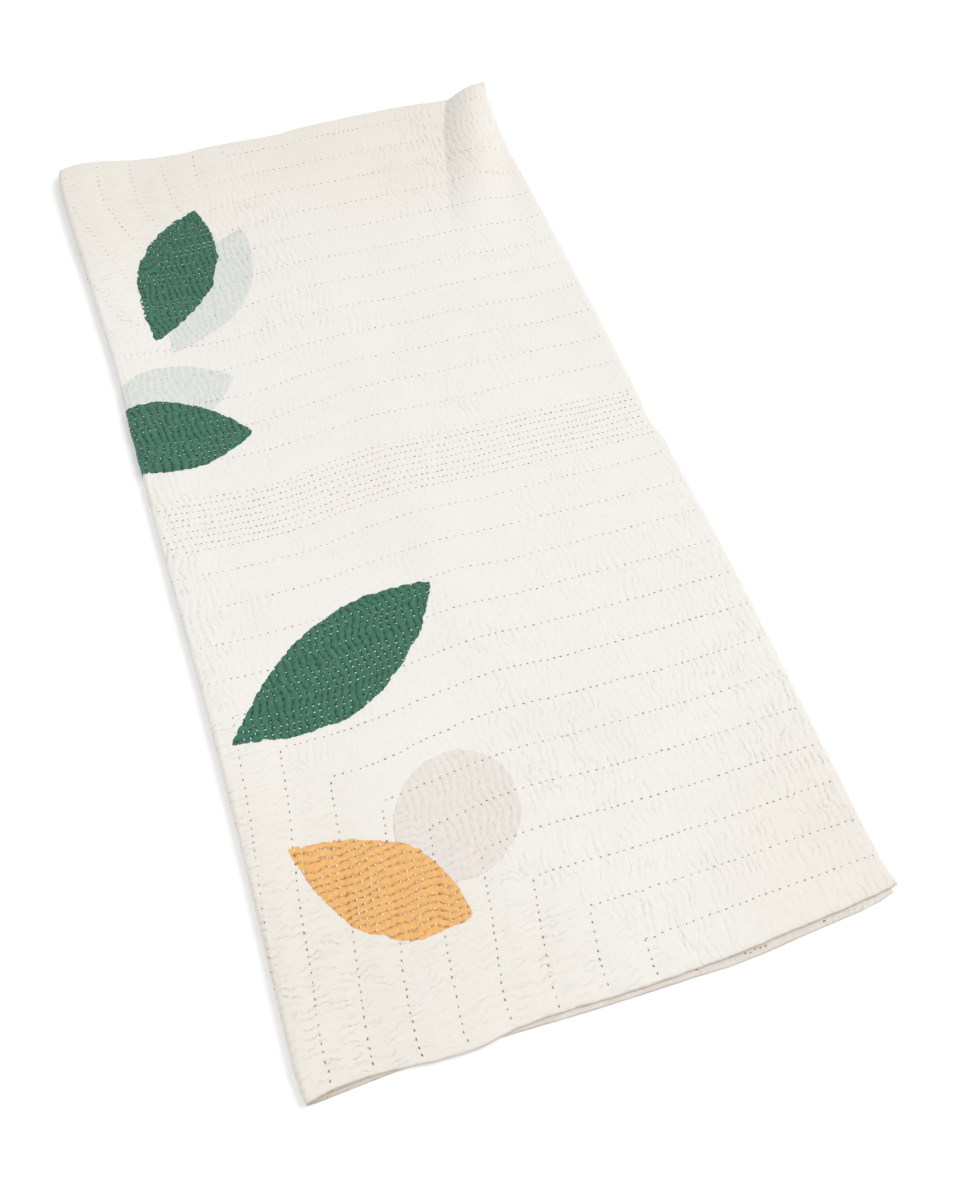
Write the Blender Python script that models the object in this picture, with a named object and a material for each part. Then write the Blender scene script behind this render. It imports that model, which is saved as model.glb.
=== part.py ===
# A kantha quilt, folded once along its length and lying flat on a surface.
# The fold lies along -X and the open edges along +X. The near end faces -Y, and the underside is
# at Z = 0. A place on the cloth is given by "across", the distance from the fold, which is
# negative on the lower leaf, and by "along", the distance from the near end. All in metres.
import math
from collections import namedtuple

import bmesh
import bpy
from mathutils import Vector

# The flat quilt is a square, so the folded one is half as wide as it is long.
QUILT_SIDE = 1.270
LENGTH = QUILT_SIDE
WIDTH = QUILT_SIDE / 2

CLOTH = 0.0024  # thickness of the quilted layers at a row of stitches
SWELL = 0.0010  # how much thicker the cloth is midway between two rows
LEAF_GAP = 0.0012  # air between the two leaves
SETTLE_SHARE = 17  # the upper leaf comes down from the fold over this many fold radii

# Rows of running stitch across the quilt, in two sets, with a closely stitched band between.
ROW_PITCH = 0.0460
FIRST_NEAR_ROW = 0.0325
NEAR_ROWS = 13
FIRST_FAR_ROW = 0.0264  # from the far end
FAR_ROWS = 12
BAND_START = 0.617
BAND_WIDTH = 0.064
BAND_STEPS = 4
# In the corners at the fold each row turns and runs lengthwise to the end. An end's first row
# turns furthest from the fold, and each next one turns nearer to it.
LENGTHWISE_PITCH = 0.0471
FIRST_LENGTHWISE_ROW = 0.0353
NEAR_TURN = 0.365
FAR_TURN = 0.235
FAR_TURN_PITCH = 0.0445

# The facets: along the length, across a leaf and round the fold.
LINE_STEP = 0.0118
LOWER_COLUMNS = 3
OUTER_TURN_STEPS = 8
INNER_TURN_STEPS = 6
INNER_LINE_EVERY = 4  # the inside takes every fourth line, and each one near an end
END_ZONE = 0.070

MILLIMETRE = 0.001
PROBE = 0.0002  # the step that a surface normal is measured with

# How far the fold and each leaf's open edge stand out from the plain rectangle, and the fold's
# radius at the middle of the cloth, in millimetres, going from the near end to the far one.
SideRow = namedtuple("SideRow", "along fold upper lower radius")
SIDES = (
    SideRow(0.000, 4, 4.5, -3, 4.3),
    SideRow(0.030, 6.5, 0, -4, 4.6),
    SideRow(0.130, 4, 0, -3, 4.8),
    SideRow(0.280, 0, 0.5, -2, 4.5),
    SideRow(0.430, -1, 1, -2, 4.6),
    SideRow(0.580, 0, -3, -6, 4.4),
    SideRow(0.597, 0, -2, -7, 4.4),
    SideRow(0.616, 0, -6, -9.5, 4.4),
    SideRow(0.640, 0.5, -10, -12, 4.3),
    SideRow(0.670, 0.5, -8, -12, 4.3),
    SideRow(0.810, -1, -8, -13, 4.5),
    SideRow(0.910, -1.5, -9.5, -15, 4.7),
    SideRow(1.060, 2.5, -12.5, -16, 5.2),
    SideRow(1.180, 6.5, -17, -19, 6),
    SideRow(1.240, 7, -16, -19, 6.6),
    SideRow(1.270, 4, -10, -16, 6.4),
)

# How far in from the near end the end's own unevenness reaches.
END_FADE = 0.034

# How far each leaf's ends stand out from the plain rectangle, in millimetres.
EndRow = namedtuple("EndRow", "across near_upper near_lower far_upper far_lower")
ENDS = (
    EndRow(0.000, 1, 1, -12, -12),
    EndRow(0.030, -3, 2, -4.5, -9),
    EndRow(0.080, -2, 0.5, -6, -11),
    EndRow(0.130, 5, 2, -13, -16),
    EndRow(0.170, 8, 4, -16.5, -19),
    EndRow(0.215, 3.5, 7, -14.5, -20.5),
    EndRow(0.260, 4, 10, -16.5, -21),
    EndRow(0.310, 8, 13.5, -18.5, -20.5),
    EndRow(0.350, 10.5, 16, -17.5, -20),
    EndRow(0.400, 11, 17.5, -17, -20),
    EndRow(0.450, 12, 21, -15.5, -19),
    EndRow(0.500, 10, 19, -14.5, -20),
    EndRow(0.580, 8, 16.5, -22, -24),
    EndRow(0.615, 6, 14.5, -24, -25),
    EndRow(0.635, 4, 10, -21.5, -23),
)

# How far the rows across wander from straight, in millimetres towards the far end.
WanderRow = namedtuple("WanderRow", "across shift")
WANDER = (
    WanderRow(0.000, 0),
    WanderRow(0.090, -5),
    WanderRow(0.160, -6),
    WanderRow(0.290, 5),
    WanderRow(0.390, -1),
    WanderRow(0.520, -6),
    WanderRow(0.635, -7),
)

# Soft hills and ridges in the upper leaf: the crest's place, how far the hill falls towards the
# fold, the open edge and the ends, how far the crest drifts to the fold, how softly its foot
# meets the leaf on the fold's side, and its height.
Hill = namedtuple("Hill", "across along fold_side open_side reach drift foot height")
HILLS = (
    Hill(0.612, 1.270, 0.045, 0.056, 0.330, 0.30, 1, 0.0205),  # ridge beside the far open corner
    Hill(0.385, 1.270, 0.110, 0.100, 0.180, 0.00, 2, 0.0030),  # wave in the far end
    Hill(0.297, 0.640, 0.040, 0.075, 0.700, 0.00, 2, 0.0014),  # crease along the middle
    Hill(0.180, 0.300, 0.130, 0.150, 0.260, 0.00, 2, 0.0012),
    Hill(0.470, 0.800, 0.150, 0.120, 0.300, 0.00, 2, 0.0014),
    Hill(0.500, 0.000, 0.160, 0.110, 0.120, 0.00, 2, 0.0020),  # the near end's mouth
    Hill(0.560, 0.430, 0.120, 0.090, 0.220, 0.00, 2, 0.0012),
)


def clear_scene():
    for obj in list(bpy.data.objects):
        bpy.data.objects.remove(obj, do_unlink=True)


def table_value(rows, key, at, column):
    """Reads a column at any place, on a smooth curve through the table's rows."""
    places = [getattr(row, key) for row in rows]
    values = [getattr(row, column) for row in rows]
    last = len(rows) - 1
    at = min(max(at, places[0]), places[last])
    i = next(n for n in range(last) if at <= places[n + 1])

    def slope(n):
        before, after = max(n - 1, 0), min(n + 1, last)
        return (values[after] - values[before]) / (places[after] - places[before])

    step = places[i + 1] - places[i]
    t = (at - places[i]) / step
    rise = t * t * (3 - 2 * t)
    bend = slope(i) * t * (1 - t) ** 2 - slope(i + 1) * t * t * (1 - t)
    return values[i] + (values[i + 1] - values[i]) * rise + bend * step


def bell(x, foot=2):
    """1 at the middle, falling to 0 at 1 on each side, with a soft foot or, for 1, a sharp one."""
    return math.cos(math.pi * x / 2) ** foot if abs(x) < 1 else 0.0


def hill_height(hill, across, along):
    crest = hill.across - hill.drift * (hill.along - along)
    lengthwise = bell((along - hill.along) / hill.reach)
    if across > crest:
        return hill.height * lengthwise * bell((across - crest) / hill.open_side)
    return hill.height * lengthwise * bell((across - crest) / hill.fold_side, hill.foot)


def upper_leaf_height(across, along, radius):
    """Height of the upper leaf's middle, coming down from the fold and over the hills."""
    rest = CLOTH + LEAF_GAP + CLOTH / 2
    top = CLOTH / 2 + 2 * radius
    settled = bell(across / (SETTLE_SHARE * radius))
    return rest + (top - rest) * settled + sum(hill_height(h, across, along) for h in HILLS)


def end_to_end(side, along, leaf):
    """Y at this place: the leaf's uneven ends, and the rows' wander, which fades at the ends.

    The rows follow the far end, while the near end alone runs in and out beyond the first row.
    """
    near = table_value(ENDS, "across", side, "near_" + leaf) * MILLIMETRE
    far = table_value(ENDS, "across", side, "far_" + leaf) * MILLIMETRE
    share = along / LENGTH
    wander = table_value(WANDER, "across", side, "shift") * MILLIMETRE
    inside = 1 - (2 * share - 1) ** 8
    at_near = bell(along / END_FADE)
    return along - LENGTH / 2 - near * at_near + far * share**2 + wander * inside


def cloth_middle(across, along):
    """The point of the cloth's middle surface at this place."""
    leaf = "upper" if across > 0 else "lower"
    side = abs(across)
    radius = table_value(SIDES, "along", along, "radius") * MILLIMETRE
    fold_x = CLOTH / 2 - WIDTH / 2 - table_value(SIDES, "along", along, "fold") * MILLIMETRE
    open_x = WIDTH / 2 + table_value(SIDES, "along", along, leaf) * MILLIMETRE
    quarter_turn = radius * math.pi / 2
    if side < quarter_turn:
        turn = across / radius
        x = fold_x + radius * (1 - math.cos(turn))
        z = CLOTH / 2 + radius * (1 + math.sin(turn))
    else:
        share = (side - quarter_turn) / (WIDTH - quarter_turn)
        x = fold_x + radius + (open_x - fold_x - radius) * share
        z = CLOTH / 2
        if across > 0:
            z = upper_leaf_height(side - quarter_turn, along, radius)
    return Vector((x, end_to_end(side, along, leaf), z))


def cloth_normal(across, along):
    """Points out of the folded quilt: up on the upper leaf, down on the lower one."""
    around = cloth_middle(across + PROBE, along) - cloth_middle(across - PROBE, along)
    lengthwise = cloth_middle(across, along + PROBE) - cloth_middle(across, along - PROBE)
    return around.cross(lengthwise).normalized()


def swell_between(step, steps):
    """How far the cloth swells at a step of the way from one row to the next."""
    return SWELL * math.sin(math.pi * step / steps) ** 2


def length_lines():
    """(along, swell) of each line of points: the rows, and even steps between them."""
    near_rows = [FIRST_NEAR_ROW + ROW_PITCH * n for n in range(NEAR_ROWS)]
    band = [BAND_START + BAND_WIDTH * n / BAND_STEPS for n in range(BAND_STEPS + 1)]
    far_rows = [LENGTH - FIRST_FAR_ROW - ROW_PITCH * n for n in reversed(range(FAR_ROWS))]
    rows = [0, *near_rows, *band, *far_rows, LENGTH]
    lines = []
    for start, end in zip(rows, rows[1:]):
        steps = max(1, round((end - start) / LINE_STEP))
        for step in range(steps):
            lines.append((start + (end - start) * step / steps, swell_between(step, steps)))
    return [*lines, (LENGTH, 0.0)]


def leaf_columns(turn_edge):
    """(across, swell) of the upper leaf's columns, on the lengthwise rows and midway."""
    columns = [(turn_edge, 0.0)]
    step = 0
    across = FIRST_LENGTHWISE_ROW
    while across < WIDTH - LENGTHWISE_PITCH / 2:
        columns.append((across, swell_between(step % 2, 2)))
        step += 1
        across += LENGTHWISE_PITCH / 2
    return [*columns, (WIDTH, 0.0)]


def section_columns(turn_steps):
    """(across, swell) of a whole section: lower leaf, round the fold, upper leaf."""
    turn_edge = math.pi / 2 * max(row.radius for row in SIDES) * MILLIMETRE
    lower = [(turn_edge - WIDTH) * n / LOWER_COLUMNS - turn_edge for n in range(LOWER_COLUMNS + 1)]
    turn = [turn_edge * (2 * n / turn_steps - 1) for n in range(1, turn_steps)]
    flat = [(across, 0.0) for across in [*reversed(lower), *turn]]
    return [*flat, *leaf_columns(turn_edge)]


def rows_run_lengthwise(across, along):
    """True in the two corners at the fold, between the fold and the rows' turns."""
    from_far = LENGTH - along
    near = (NEAR_TURN - across) / LENGTHWISE_PITCH > (along - FIRST_NEAR_ROW) / ROW_PITCH
    far = (FAR_TURN - across) / FAR_TURN_PITCH > (from_far - FIRST_FAR_ROW) / ROW_PITCH
    return near or far


def outer_swell(column, line):
    """How far the upper leaf's face stands out here. The underside and the hems stay flat."""
    across, column_swell = column
    along, line_swell = line
    if across <= 0 or across >= WIDTH:
        return 0.0
    if rows_run_lengthwise(across, along):
        return column_swell if 0 < along < LENGTH else 0.0
    return line_swell


def add_surface(bm, columns, lines, side):
    """A grid of points on one side of the cloth, 1 for the outer and -1 for the inner."""
    grid = []
    for line in lines:
        row = []
        for column in columns:
            out = side * CLOTH / 2
            if side > 0:
                out += outer_swell(column, line)
            place = cloth_middle(column[0], line[0])
            row.append(bm.verts.new(place + cloth_normal(column[0], line[0]) * out))
        grid.append(row)
    for before, after in zip(grid, grid[1:]):
        for i in range(len(columns) - 1):
            corners = [before[i], before[i + 1], after[i + 1], after[i]]
            bm.faces.new(corners if side > 0 else corners[::-1])
    return grid


def zip_edges(bm, outer, inner):
    """Closes the cut edge between two rows of (place, point), which start and end together."""
    i = 0
    k = 0
    while i < len(outer) - 1 or k < len(inner) - 1:
        next_outer = outer[i + 1][0] if i < len(outer) - 1 else math.inf
        next_inner = inner[k + 1][0] if k < len(inner) - 1 else math.inf
        if next_outer <= next_inner:
            bm.faces.new((outer[i + 1][1], outer[i][1], inner[k][1]))
            i += 1
        else:
            bm.faces.new((inner[k][1], inner[k + 1][1], outer[i][1]))
            k += 1


def rim_rows(grid, columns, lines):
    """The four edges of a grid as rows of (place, point), in one direction all round."""
    across = [column[0] for column in columns]
    along = [line[0] for line in lines]
    near = list(zip(across, grid[0]))
    upper = list(zip(along, [row[-1] for row in grid]))
    far = [(-place, point) for place, point in reversed(list(zip(across, grid[-1])))]
    lower = [(-place, row[0]) for place, row in reversed(list(zip(along, grid)))]
    return [near, upper, far, lower]


def inside_lines(lines):
    """The inside takes fewer lines than the outside, but all of them near the ends."""
    last = len(lines) - 1
    kept = []
    for n, line in enumerate(lines):
        near_end = min(line[0], LENGTH - line[0]) < END_ZONE
        if near_end or n % INNER_LINE_EVERY == 0 or n == last:
            kept.append(line)
    return kept


def folded_cloth():
    """The closed mesh of the folded quilt: its outside, its inside and its cut edges."""
    bm = bmesh.new()
    lines = length_lines()
    outer_columns = section_columns(OUTER_TURN_STEPS)
    outer = add_surface(bm, outer_columns, lines, 1)
    inner_lines = inside_lines(lines)
    inner_columns = section_columns(INNER_TURN_STEPS)
    inner = add_surface(bm, inner_columns, inner_lines, -1)
    outer_rims = rim_rows(outer, outer_columns, lines)
    inner_rims = rim_rows(inner, inner_columns, inner_lines)
    for outer_rim, inner_rim in zip(outer_rims, inner_rims):
        zip_edges(bm, outer_rim, inner_rim)
    bmesh.ops.triangulate(bm, faces=bm.faces[:])
    mesh = bpy.data.meshes.new("quilt")
    bm.to_mesh(mesh)
    bm.free()
    return mesh


def centre_over_origin(mesh):
    """Moves the points so that the middle of the box round them lies over the origin."""
    xs = [vertex.co.x for vertex in mesh.vertices]
    ys = [vertex.co.y for vertex in mesh.vertices]
    middle = Vector(((min(xs) + max(xs)) / 2, (min(ys) + max(ys)) / 2, 0))
    for vertex in mesh.vertices:
        vertex.co -= middle


def quilt_cotton():
    """Undyed cotton: warm off-white and quite matt."""
    material = bpy.data.materials.new("quilt_cotton")
    material.use_nodes = True
    shader = material.node_tree.nodes["Principled BSDF"]
    shader.inputs["Base Color"].default_value = (0.89, 0.86, 0.80, 1)
    shader.inputs["Roughness"].default_value = 0.9
    shader.inputs["Metallic"].default_value = 0.0
    return material


def main():
    clear_scene()
    mesh = folded_cloth()
    centre_over_origin(mesh)
    mesh.shade_smooth()
    mesh.materials.append(quilt_cotton())
    quilt = bpy.data.objects.new("quilt", mesh)
    bpy.context.collection.objects.link(quilt)


main()
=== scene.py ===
import math
from collections import namedtuple

import bmesh
import bpy
import numpy as np
from mathutils import Matrix, Vector
from mathutils.geometry import delaunay_2d_cdt


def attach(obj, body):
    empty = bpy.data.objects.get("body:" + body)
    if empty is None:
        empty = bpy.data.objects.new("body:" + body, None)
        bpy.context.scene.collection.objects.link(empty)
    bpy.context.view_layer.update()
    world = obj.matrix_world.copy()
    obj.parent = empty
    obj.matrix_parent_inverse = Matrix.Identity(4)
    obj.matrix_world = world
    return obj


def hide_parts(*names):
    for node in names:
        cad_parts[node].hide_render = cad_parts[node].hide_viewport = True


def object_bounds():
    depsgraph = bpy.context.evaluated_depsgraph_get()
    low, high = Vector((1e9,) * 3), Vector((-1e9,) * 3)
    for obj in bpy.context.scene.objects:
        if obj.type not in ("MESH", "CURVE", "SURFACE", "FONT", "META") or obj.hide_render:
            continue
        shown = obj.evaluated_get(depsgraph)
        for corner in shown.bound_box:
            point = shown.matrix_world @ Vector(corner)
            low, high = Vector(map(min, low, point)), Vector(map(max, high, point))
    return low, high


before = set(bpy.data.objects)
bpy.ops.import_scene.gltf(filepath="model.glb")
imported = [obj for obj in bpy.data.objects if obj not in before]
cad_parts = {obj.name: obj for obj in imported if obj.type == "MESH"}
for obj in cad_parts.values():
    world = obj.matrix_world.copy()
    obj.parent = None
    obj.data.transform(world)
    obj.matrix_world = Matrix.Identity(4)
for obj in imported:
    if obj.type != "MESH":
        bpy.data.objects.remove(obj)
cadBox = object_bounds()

# A kantha quilt folded once along its length. A place on the cloth is given flat, before the fold:
# across is the distance from the fold, minus on the lower leaf, and along is the distance from the
# near end. Everything on the quilt is laid out flat and then folded by the same functions.

mm = 0.001

quilt = {
    "side": 1.270,  # the flat quilt is a square
    "cloth": 0.0024,  # thickness at a row of stitches
    "leafGap": 0.0012,  # air between the leaves
    "settle": 17,  # the upper leaf comes down from the fold over this many fold radii
    "swell": 0.0006,  # how far the cloth swells between two red rows
    "columnStep": 0.0044,  # the upper face's mesh, before the rows' side gets its extra cut
    "lineStep": 0.0050,
    "hemLine": 0.0014,  # an extra line this far from each end
    "turnStep": 0.0020,  # round the fold
    "plainFold": 0.011,  # up to here from the fold the rows' side gets no extra cut
    "hiddenStep": 0.040,  # on the underside
    "insideStep": 0.018,  # between the leaves
    "rimOut": 0.0008,  # the hem's middle stands out this far
    "rimThin": 0.35,  # and the hem is thinner than the rest by this share
    "rimReach": 0.0025,
    "endFade": 0.034,  # how far in the near end's own unevenness reaches
    "endWaves": ((0.50, 0.009, 1), (0.35, 0.004, 4)),  # small waves in the ends: mm, length, seed
    "sideWave": (0.50, 0.010, 2),  # and in each leaf's open edge
}
length = quilt["side"]
width = quilt["side"] / 2

# How far the fold and each leaf's open edge stand out from the plain rectangle, and the fold's
# radius at the cloth's middle, in millimetres.
SideRow = namedtuple("SideRow", "along fold upper lower radius")
sideRows = (
    SideRow(0.000, 4, 4.5, -3, 4.3),
    SideRow(0.030, 6.5, 0, -4, 4.6),
    SideRow(0.130, 4, 0, -3, 4.8),
    SideRow(0.280, 0, 0.5, -2, 4.5),
    SideRow(0.430, -1, 1, -2, 4.6),
    SideRow(0.580, 0, -3, -6, 4.4),
    SideRow(0.597, 0, -2, -7, 4.4),
    SideRow(0.616, 0, -6, -9.5, 4.4),
    SideRow(0.640, 0.5, -10, -12, 4.3),
    SideRow(0.670, 0.5, -8, -12, 4.3),
    SideRow(0.810, -1, -8, -13, 4.5),
    SideRow(0.910, -1.5, -9.5, -15, 4.7),
    SideRow(1.060, 2.5, -12.5, -16, 5.2),
    SideRow(1.180, 6.5, -17, -19, 6),
    SideRow(1.240, 7, -16, -19, 6.6),
    SideRow(1.270, 4, -10, -16, 6.4),
)

# How far each leaf's ends stand out from the plain rectangle, in millimetres.
EndRow = namedtuple("EndRow", "across nearUpper nearLower farUpper farLower")
endRows = (
    EndRow(0.000, 1, 1, -12, -12),
    EndRow(0.030, -3, 2, -4.5, -9),
    EndRow(0.080, -2, 0.5, -6, -11),
    EndRow(0.130, 5, 2, -13, -16),
    EndRow(0.170, 8, 4, -16.5, -19),
    EndRow(0.215, 3.5, 7, -14.5, -20.5),
    EndRow(0.260, 4, 10, -16.5, -21),
    EndRow(0.310, 8, 13.5, -18.5, -20.5),
    EndRow(0.350, 10.5, 16, -17.5, -20),
    EndRow(0.400, 11, 17.5, -17, -20),
    EndRow(0.450, 12, 21, -15.5, -19),
    EndRow(0.500, 10, 19, -14.5, -20),
    EndRow(0.580, 8, 16.5, -22, -24),
    EndRow(0.615, 6, 14.5, -24, -25),
    EndRow(0.635, 4, 10, -21.5, -23),
)

# How far the rows across wander from straight, in millimetres towards the far end.
WanderRow = namedtuple("WanderRow", "across shift")
wanderRows = (
    WanderRow(0.000, 0),
    WanderRow(0.090, -5),
    WanderRow(0.160, -6),
    WanderRow(0.290, 5),
    WanderRow(0.390, -1),
    WanderRow(0.520, -6),
    WanderRow(0.635, -7),
)

# Soft hills and ridges in the upper leaf: the crest's place, how far the hill falls towards the
# fold, the open edge and the ends, how far the crest drifts to the fold, how softly its foot
# meets the leaf on the fold's side, and its height.
Hill = namedtuple("Hill", "across along foldSide openSide reach drift foot height")
hills = (
    Hill(0.612, 1.270, 0.045, 0.056, 0.330, 0.30, 1, 0.0205),  # ridge beside the far open corner
    Hill(0.385, 1.270, 0.110, 0.100, 0.180, 0.00, 2, 0.0030),  # wave in the far end
    Hill(0.297, 0.640, 0.040, 0.075, 0.700, 0.00, 2, 0.0014),  # crease along the middle
    Hill(0.180, 0.300, 0.130, 0.150, 0.260, 0.00, 2, 0.0012),
    Hill(0.470, 0.800, 0.150, 0.120, 0.300, 0.00, 2, 0.0014),
    Hill(0.500, 0.000, 0.160, 0.110, 0.120, 0.00, 2, 0.0020),  # the near end's mouth
    Hill(0.560, 0.430, 0.120, 0.090, 0.220, 0.00, 2, 0.0012),
)

# The sewing: red rows, with fine undyed rows between them. In the two corners at the fold each
# row turns and runs lengthwise to the end.
sewing = {
    "pitch": 0.0460,  # from one red row to the next
    "fineRows": 6,  # rows to that pitch: five undyed ones between two red ones
    "firstNear": 0.0325,  # the first red row from the near end
    "nearRows": 13,
    "firstFar": 0.0264,  # and from the far end
    "farRows": 12,
    "bandStart": 0.617,  # the closely stitched red band
    "bandWidth": 0.064,
    "bandRows": 8,
    "bandStitches": 0.80,  # the band's stitches are this much closer
    "bandLarger": 0.13,  # and larger by this share
    "toBand": 4,  # fine rows from the last near red row to the band
    "fromBand": 7,
    "lean": 0.10,  # the near corner's lengthwise rows lean this much from the fold
    "fan": 0.30,  # and more so for each metre away from it
    "farTurn": 0.235,  # the far corner's row that would turn at the end itself
    "farTurnPitch": 0.0445,
    "farBend": 0.085,  # the far corner's rows run straight for this long, and then
    "farLean": 0.29,  # lean from the fold
    "stitchPitch": 0.0085,
    "smallFrom": 0.32,  # from here on, away from the near end, the stitches grow smaller
    "smallTo": 0.60,  # and less even, up to here
    "unevenNear": 0.4,  # the share of a thread's unevenness that its stitches have at the near end
    "edge": 0.005,  # stitching stops this far from the hem
    "underEdge": 0.004,  # and on the underside this far from the hem and the fold
    "pathStep": 0.5 * mm,  # a row is followed in steps of this length
    "leastSteps": 20,  # and has no stitches on a part with fewer of them
    "leastTurn": 0.003,  # a row that would turn nearer the fold than this runs straight on to it
    "pastFold": 0.006,  # a lengthwise row is followed this far round the fold
    "wobble": 0.0011,
    "wobbleLengths": (0.045, 0.055),  # of a row that runs lengthwise, and of one across
    "stray": 0.0017,  # neighbouring rows stray together by up to this much
    "strayLengths": (0.11, 0.10),
    "strayRows": 7,  # as far as about this many rows away
    # how the spacing of the stitches drifts, in stitches: amount, length, rows and seed
    "drift": ((0.80, 0.065, 3, 3), (0.30, 0.022, 1.3, 8)),
    "acrossSize": 0.86,  # a stitch in a row across is pulled in tighter
    "lengthwiseSize": 0.96,  # than one in a lengthwise row
    "jitter": 0.00035,
    "twist": 0.16,  # how far a stitch turns from its row
    "sink": 0.0003,  # its ends go this deep into the cloth
    "spread": 0.20,  # and its size differs by this share
}


def readTable(rows, key, at, column):
    # a smooth curve through the table's rows, read at many places
    places = np.array([getattr(row, key) for row in rows])
    values = np.array([getattr(row, column) for row in rows], float)
    before = np.maximum(np.arange(len(rows)) - 1, 0)
    after = np.minimum(np.arange(len(rows)) + 1, len(rows) - 1)
    slopes = (values[after] - values[before]) / (places[after] - places[before])
    at = np.clip(at, places[0], places[-1])
    i = np.clip(np.searchsorted(places, at) - 1, 0, len(rows) - 2)
    step = places[i + 1] - places[i]
    t = (at - places[i]) / step
    bend = slopes[i] * t * (1 - t) ** 2 - slopes[i + 1] * t * t * (1 - t)
    return values[i] + (values[i + 1] - values[i]) * t * t * (3 - 2 * t) + bend * step


noiseGrid = np.random.default_rng(11).random((97, 89)) * 2 - 1


def softNoise(u, v, seed):
    # smooth random hills from -1 to 1, about one for each unit of u and v
    u = np.asarray(u, float) + 7.31 * seed
    v = np.asarray(v, float) + 3.17 * seed
    iu, iv = np.floor(u).astype(int), np.floor(v).astype(int)
    fu, fv = u - iu, v - iv
    fu, fv = fu * fu * (3 - 2 * fu), fv * fv * (3 - 2 * fv)
    rows, columns = noiseGrid.shape

    def corner(i, k):
        return noiseGrid[(iu + i) % rows, (iv + k) % columns]

    near = corner(0, 0) * (1 - fu) + corner(1, 0) * fu
    far = corner(0, 1) * (1 - fu) + corner(1, 1) * fu
    return near * (1 - fv) + far * fv


def smoothStep(x):
    x = np.clip(x, 0, 1)
    return x * x * (3 - 2 * x)


def bell(x, foot=2):
    # 1 at the middle, falling to 0 at 1 on each side, with a soft foot or, for 1, a sharp one
    return np.where(np.abs(x) < 1, np.abs(np.cos(np.pi * np.clip(x, -1, 1) / 2)) ** foot, 0)


def upperLeafHeight(across, along, radius):
    # how high the upper leaf's middle lies: it comes down from the fold and rests on the lower leaf
    rest = 1.5 * quilt["cloth"] + quilt["leafGap"]
    top = quilt["cloth"] / 2 + 2 * radius
    height = rest + (top - rest) * bell(across / (quilt["settle"] * radius))
    for hill in hills:
        side = across - hill.across + hill.drift * (hill.along - along)
        around = np.where(side > 0, bell(side / hill.openSide), bell(side / hill.foldSide, hill.foot))
        height = height + hill.height * around * bell((along - hill.along) / hill.reach)
    return height


def leafTable(rows, key, at, columns, upper):
    # one column of a table for the upper leaf and another for the lower
    forUpper, forLower = (readTable(rows, key, at, column) for column in columns)
    return np.where(upper, forUpper, forLower)


def endToEnd(side, along, upper):
    # a place's distance from the quilt's middle, towards the far end
    near = leafTable(endRows, "across", side, ("nearUpper", "nearLower"), upper)
    far = leafTable(endRows, "across", side, ("farUpper", "farLower"), upper)
    share = along / length
    wander = readTable(wanderRows, "across", side, "shift") * (1 - (2 * share - 1) ** 8)
    waves = sum(size * softNoise(side / long, share * 3, seed) for size, long, seed in quilt["endWaves"])
    waves = waves * (2 * share - 1) ** 6
    atNear = bell(along / quilt["endFade"])
    return along - length / 2 + (far * share**2 - near * atNear + wander + waves) * mm


def clothMiddle(across, along):
    # the folded cloth's middle: the lower leaf lies flat, then comes the round fold, then the upper
    upper = across > 0
    side = np.abs(across)
    radius = readTable(sideRows, "along", along, "radius") * mm
    foldX = quilt["cloth"] / 2 - width / 2 - readTable(sideRows, "along", along, "fold") * mm
    size, long, seed = quilt["sideWave"]
    out = leafTable(sideRows, "along", along, ("upper", "lower"), upper)
    out = out + size * softNoise(along / long, upper * 3.0, seed)
    openX = width / 2 + out * mm
    quarter = radius * np.pi / 2
    turn = across / radius
    share = (side - quarter) / (width - quarter)
    flat = np.where(upper, upperLeafHeight(side - quarter, along, radius), quilt["cloth"] / 2)
    onTurn = side < quarter
    leafX = foldX + radius + (openX - foldX - radius) * share
    x = np.where(onTurn, foldX + radius * (1 - np.cos(turn)), leafX)
    z = np.where(onTurn, quilt["cloth"] / 2 + radius * (1 + np.sin(turn)), flat)
    return np.stack([x, endToEnd(side, along, upper), z], axis=-1)


def clothWays(across, along):
    # unit vectors across the cloth, along it, and out of the folded quilt
    probe = 0.2 * mm
    acrossWay = clothMiddle(across + probe, along) - clothMiddle(across - probe, along)
    alongWay = clothMiddle(across, along + probe) - clothMiddle(across, along - probe)
    outWay = np.cross(acrossWay, alongWay)
    return [way / np.linalg.norm(way, axis=-1, keepdims=True) for way in (acrossWay, alongWay, outWay)]


# Where the near corner's lengthwise rows reach the near end: which red row, and how far from the
# fold. A row past the fold runs round it.
TurnRow = namedtuple("TurnRow", "row across")
turnRows = (
    TurnRow(-1, 0.4090),
    TurnRow(0, 0.3600),
    TurnRow(1, 0.3110),
    TurnRow(2, 0.2585),
    TurnRow(3, 0.2100),
    TurnRow(4, 0.1630),
    TurnRow(5, 0.1165),
    TurnRow(6, 0.0705),
    TurnRow(7, 0.0275),
    TurnRow(8, -0.0105),
    TurnRow(10, -0.0900),
)
turnAcross = np.array([turn.across for turn in turnRows])
turnNumber = np.array([turn.row for turn in turnRows])


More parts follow.
